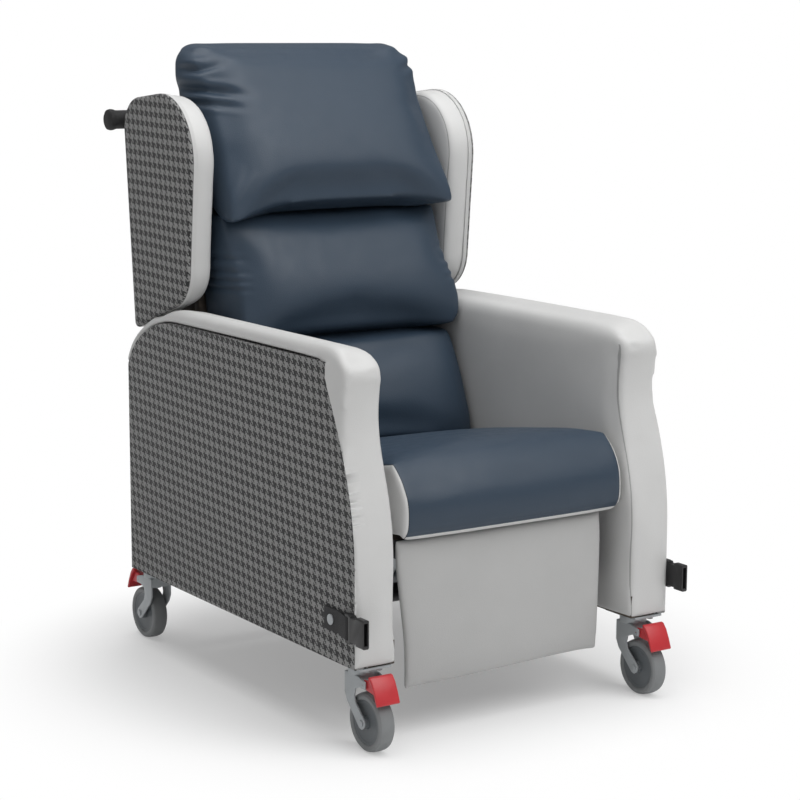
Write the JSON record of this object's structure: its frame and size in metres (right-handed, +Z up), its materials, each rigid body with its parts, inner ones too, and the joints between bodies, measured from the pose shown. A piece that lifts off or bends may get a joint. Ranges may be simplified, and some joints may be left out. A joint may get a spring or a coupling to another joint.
{
  "type": "wheeled recliner chair",
  "caption": "Wheeled recliner care chair with padded arms, winged reclining back with stepped cushions, lifting legrest, rear push bar and braked swivel castors.",
  "frame": {"origin": "on the floor, under the middle of the chair's box", "axes": "+Z up, the sitter faces -Y, +X is the sitter's left hand side"},
  "size_m": [0.6804, 0.9225, 1.136],
  "materials": {
    "navy_vinyl": "semi-matt coated vinyl",
    "grey_vinyl": "semi-matt coated vinyl",
    "houndstooth_cloth": "woven two-tone houndstooth",
    "timber": "plain sawn, unpainted",
    "black_steel": "black powder coat",
    "zinc_steel": "dull zinc plate",
    "polished_rod": "polished",
    "tyre_rubber": "grey non-marking rubber",
    "hub_plastic": "moulded",
    "pedal_plastic": "moulded red",
    "black_foam": "closed-cell foam grip",
    "buckle_plastic": "moulded black",
    "webbing": "woven black webbing"
  },
  "bodies": {
    "base": {"left_side_frame": "timber", "right_side_frame": "timber", "left_outer_panel": "houndstooth_cloth", "right_outer_panel": "houndstooth_cloth", "left_arm_facing": "grey_vinyl", "right_arm_facing": "grey_vinyl", "left_arm_pad": "grey_vinyl", "right_arm_pad": "grey_vinyl", "cross_tubes": "black_steel", "cross_bolts": "zinc_steel", "castor_plates": "zinc_steel", "castor_bolts": "zinc_steel", "seat_board": "timber", "seat_cushion": "navy_vinyl", "back_pivot_pins": "zinc_steel", "legrest_brackets": "black_steel", "recline_cylinder": "black_steel", "legrest_cylinder": "black_steel", "buckle_straps": "webbing", "strap_rivets": "zinc_steel"},
    "back": {"back_sides": "timber", "back_board": "timber", "rear_panel": "houndstooth_cloth", "left_wing_pad": "grey_vinyl", "right_wing_pad": "grey_vinyl", "left_wing_panel": "houndstooth_cloth", "right_wing_panel": "houndstooth_cloth", "head_cushion": "navy_vinyl", "middle_cushion": "navy_vinyl", "lumbar_cushion": "navy_vinyl", "push_bar": "black_steel", "push_grips": "black_foam", "recline_crank": "black_steel"},
    "legrest": {"legrest_pad": "grey_vinyl", "legrest_board": "timber", "legrest_arms": "black_steel"},
    "recline_rod": {"recline_rod": "polished_rod"},
    "legrest_rod": {"legrest_rod": "polished_rod"},
    "left_buckle": {"left_buckle": "buckle_plastic"},
    "right_buckle": {"right_buckle": "buckle_plastic"},
    "front_left_fork": {"front_left_castor_fork": "zinc_steel", "front_left_castor_axle": "zinc_steel"},
    "front_left_wheel": {"front_left_castor_hub": "hub_plastic", "front_left_castor_tyre": "tyre_rubber"},
    "front_left_pedal": {"front_left_brake_pedal": "pedal_plastic"},
    "front_right_fork": {"front_right_castor_fork": "zinc_steel", "front_right_castor_axle": "zinc_steel"},
    "front_right_wheel": {"front_right_castor_hub": "hub_plastic", "front_right_castor_tyre": "tyre_rubber"},
    "front_right_pedal": {"front_right_brake_pedal": "pedal_plastic"},
    "rear_left_fork": {"rear_left_castor_fork": "zinc_steel", "rear_left_castor_axle": "zinc_steel"},
    "rear_left_wheel": {"rear_left_castor_hub": "hub_plastic", "rear_left_castor_tyre": "tyre_rubber"},
    "rear_left_pedal": {"rear_left_brake_pedal": "pedal_plastic"},
    "rear_right_fork": {"rear_right_castor_fork": "zinc_steel", "rear_right_castor_axle": "zinc_steel"},
    "rear_right_wheel": {"rear_right_castor_hub": "hub_plastic", "rear_right_castor_tyre": "tyre_rubber"},
    "rear_right_pedal": {"rear_right_brake_pedal": "pedal_plastic"}
  },
  "joints": [
    {"name": "back_recline", "type": "hinge", "parent": "base", "child": "back", "pos_m": [0, 0.24175, 0.32735], "axis": [-1, 0, 0], "range_deg": [0, 32]},
    {"name": "legrest_lift", "type": "hinge", "parent": "base", "child": "legrest", "pos_m": [0, -0.35625, 0.29287], "axis": [-1, 0, 0], "range_deg": [0, 78]},
    {"name": "recline_rod_slide", "type": "slide", "parent": "base", "child": "recline_rod", "axis": [0, -1, 0], "range_m": [0, 0.04706]},
    {"name": "legrest_rod_slide", "type": "slide", "parent": "base", "child": "legrest_rod", "axis": [0, -1, 0], "range_m": [0, 0.06943]},
    {"name": "left_buckle_swing", "type": "hinge", "parent": "base", "child": "left_buckle", "pos_m": [-0.3335, -0.40825, 0.216], "axis": [0, 0, -1], "range_deg": [0, 45]},
    {"name": "right_buckle_swing", "type": "hinge", "parent": "base", "child": "right_buckle", "pos_m": [0.3335, -0.40825, 0.216], "axis": [0, 0, 1], "range_deg": [0, 45]},
    {"name": "front_left_swivel", "type": "hinge", "parent": "base", "child": "front_left_fork", "pos_m": [-0.2874, -0.37825, 0.145], "axis": [0, 0, 1], "continuous": true},
    {"name": "front_left_wheel_spin", "type": "hinge", "parent": "front_left_fork", "child": "front_left_wheel", "pos_m": [-0.2874, -0.40825, 0.05], "axis": [1, 0, 0], "continuous": true},
    {"name": "front_left_brake", "type": "hinge", "parent": "front_left_fork", "child": "front_left_pedal", "pos_m": [-0.2874, -0.41225, 0.116], "axis": [1, 0, 0], "range_deg": [0, 12]},
    {"name": "front_right_swivel", "type": "hinge", "parent": "base", "child": "front_right_fork", "pos_m": [0.2874, -0.37825, 0.145], "axis": [0, 0, 1], "continuous": true},
    {"name": "front_right_wheel_spin", "type": "hinge", "parent": "front_right_fork", "child": "front_right_wheel", "pos_m": [0.2874, -0.40825, 0.05], "axis": [1, 0, 0], "continuous": true},
    {"name": "front_right_brake", "type": "hinge", "parent": "front_right_fork", "child": "front_right_pedal", "pos_m": [0.2874, -0.41225, 0.116], "axis": [1, 0, 0], "range_deg": [0, 12]},
    {"name": "rear_left_swivel", "type": "hinge", "parent": "base", "child": "rear_left_fork", "pos_m": [-0.2874, 0.36175, 0.145], "axis": [0, 0, 1], "continuous": true},
    {"name": "rear_left_wheel_spin", "type": "hinge", "parent": "rear_left_fork", "child": "rear_left_wheel", "pos_m": [-0.2874, 0.39175, 0.05], "axis": [1, 0, 0], "continuous": true},
    {"name": "rear_left_brake", "type": "hinge", "parent": "rear_left_fork", "child": "rear_left_pedal", "pos_m": [-0.2874, 0.39575, 0.116], "axis": [-1, 0, 0], "range_deg": [0, 12]},
    {"name": "rear_right_swivel", "type": "hinge", "parent": "base", "child": "rear_right_fork", "pos_m": [0.2874, 0.36175, 0.145], "axis": [0, 0, 1], "continuous": true},
    {"name": "rear_right_wheel_spin", "type": "hinge", "parent": "rear_right_fork", "child": "rear_right_wheel", "pos_m": [0.2874, 0.39175, 0.05], "axis": [1, 0, 0], "continuous": true},
    {"name": "rear_right_brake", "type": "hinge", "parent": "rear_right_fork", "child": "rear_right_pedal", "pos_m": [0.2874, 0.39575, 0.116], "axis": [-1, 0, 0], "range_deg": [0, 12]}
  ],
  "couplings": [
    {"joint": "recline_rod_slide", "follows": "back_recline", "m_per_rad": 0.0839},
    {"joint": "legrest_rod_slide", "follows": "legrest_lift", "m_per_rad": 0.05085}
  ]
}
